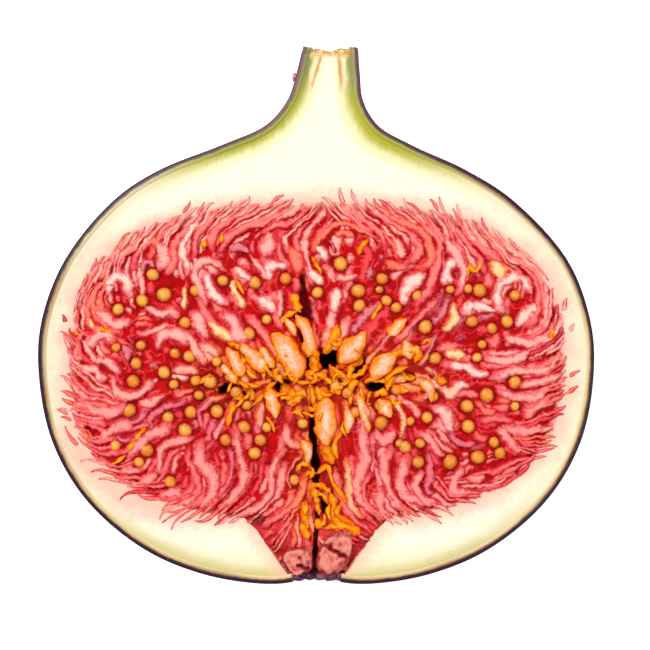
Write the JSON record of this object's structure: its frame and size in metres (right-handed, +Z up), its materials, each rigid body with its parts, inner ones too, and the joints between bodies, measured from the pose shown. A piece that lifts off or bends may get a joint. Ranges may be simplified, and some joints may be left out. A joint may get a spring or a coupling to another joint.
{
  "type": "fresh fig half",
  "caption": "Half of a ripe fig cut lengthwise, lying on its rounded back, with ribbed skin, pale flesh, and a pulp of florets and seeds round a hollow.",
  "frame": {"origin": "on the surface that the fruit lies on, under the middle of its outline", "axes": "+Z up out of the cut face, +Y along the fruit's axis from the eye to the stalk, +X across the cut face"},
  "size_m": [0.056, 0.0538, 0.0273],
  "materials": {
    "skin": "soft thin peel, dark purple under a dull bloom, green at the neck",
    "flesh": "soft moist flesh, cream, satin",
    "pulp": "wet glossy pulp, crimson with pale pink florets and tan seeds",
    "eye_scales": "dry wrinkled scales, salmon brown, dull"
  },
  "bodies": {
    "root": {"skin": "skin", "flesh": "flesh", "pulp": "pulp", "eye_scales": "eye_scales"}
  },
  "joints": []
}
